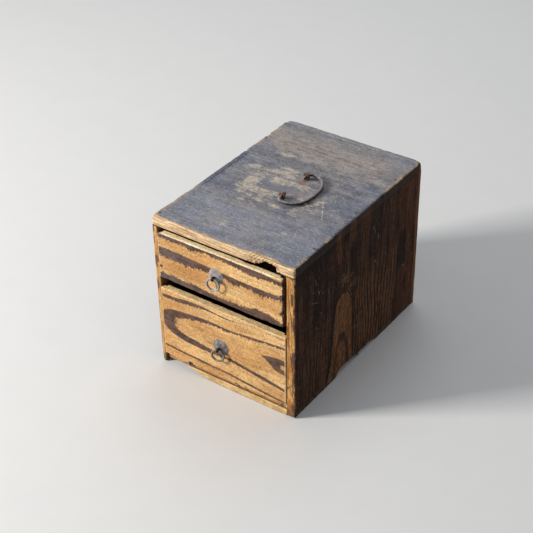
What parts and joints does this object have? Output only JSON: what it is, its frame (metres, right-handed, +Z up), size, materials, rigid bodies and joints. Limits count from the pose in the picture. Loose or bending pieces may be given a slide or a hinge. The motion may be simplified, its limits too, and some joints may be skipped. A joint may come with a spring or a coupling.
{
  "type": "portable drawer chest",
  "caption": "Small nailed wooden box with drawers one over the other, ring pulls on domed washers and a wire bail handle lying on its lid board.",
  "frame": {"origin": "middle of the case's underside, in the plane that it stands on", "axes": "+Z up, +Y from the drawer fronts to the back, +X to the right when looking at the drawer fronts"},
  "size_m": [0.15, 0.2213, 0.169],
  "materials": {
    "weathered_wood": "bare softwood weathered blue-grey, worn tan where rubbed, honey at the front edge",
    "dark_wood": "softwood blackened with age and dirt, brown where rubbed",
    "pale_wood": "bare pale softwood, dirty below",
    "front_wood": "bare honey softwood with dark broad grain, handled smooth",
    "inner_wood": "bare softwood, dusty brown",
    "rusty_iron": "wrought iron wire, rusted brown",
    "dark_iron": "wrought iron wire, dark and slightly rusted",
    "grey_iron": "iron worn grey, spotted with rust",
    "nail_iron": "iron nails, dark"
  },
  "bodies": {
    "case": {"top_board": "weathered_wood", "left_side": "dark_wood", "right_side": "dark_wood", "bottom_board": "pale_wood", "back_board": "dark_wood", "middle_shelf": "inner_wood", "front_bail_pin": "rusty_iron", "rear_bail_pin": "rusty_iron", "top_nails": "nail_iron", "back_nails": "nail_iron", "bottom_nails": "nail_iron"},
    "bail": {"bail_handle": "dark_iron"},
    "upper_drawer": {"upper_drawer_front": "front_wood", "upper_drawer_left_side": "inner_wood", "upper_drawer_right_side": "inner_wood", "upper_drawer_back": "inner_wood", "upper_drawer_bottom": "inner_wood", "upper_drawer_nails": "nail_iron", "upper_pull_washer": "grey_iron", "upper_pull_pin": "dark_iron"},
    "upper_ring": {"upper_pull_ring": "grey_iron"},
    "lower_drawer": {"lower_drawer_front": "front_wood", "lower_drawer_left_side": "inner_wood", "lower_drawer_right_side": "inner_wood", "lower_drawer_back": "inner_wood", "lower_drawer_bottom": "inner_wood", "lower_drawer_nails": "nail_iron", "lower_pull_washer": "grey_iron", "lower_pull_pin": "dark_iron"},
    "lower_ring": {"lower_pull_ring": "grey_iron"}
  },
  "joints": [
    {"name": "upper_drawer_slide", "type": "slide", "parent": "case", "child": "upper_drawer", "axis": [0, -1, 0], "range_m": [0, 0.15]},
    {"name": "lower_drawer_slide", "type": "slide", "parent": "case", "child": "lower_drawer", "axis": [0, -1, 0], "range_m": [0, 0.15]},
    {"name": "bail_hinge", "type": "hinge", "parent": "case", "child": "bail", "pos_m": [0.0035, 0, 0.1656], "axis": [0, -1, 0], "range_deg": [0, 188]},
    {"name": "upper_ring_hinge", "type": "hinge", "parent": "upper_drawer", "child": "upper_ring", "pos_m": [-0.0063, -0.11235, 0.12455], "axis": [-0.9903, -0.1392, 0], "range_deg": [-16, 196]},
    {"name": "lower_ring_hinge", "type": "hinge", "parent": "lower_drawer", "child": "lower_ring", "pos_m": [-0.0045, -0.11235, 0.04685], "axis": [-0.9781, -0.2079, 0], "range_deg": [-15, 195]}
  ]
}
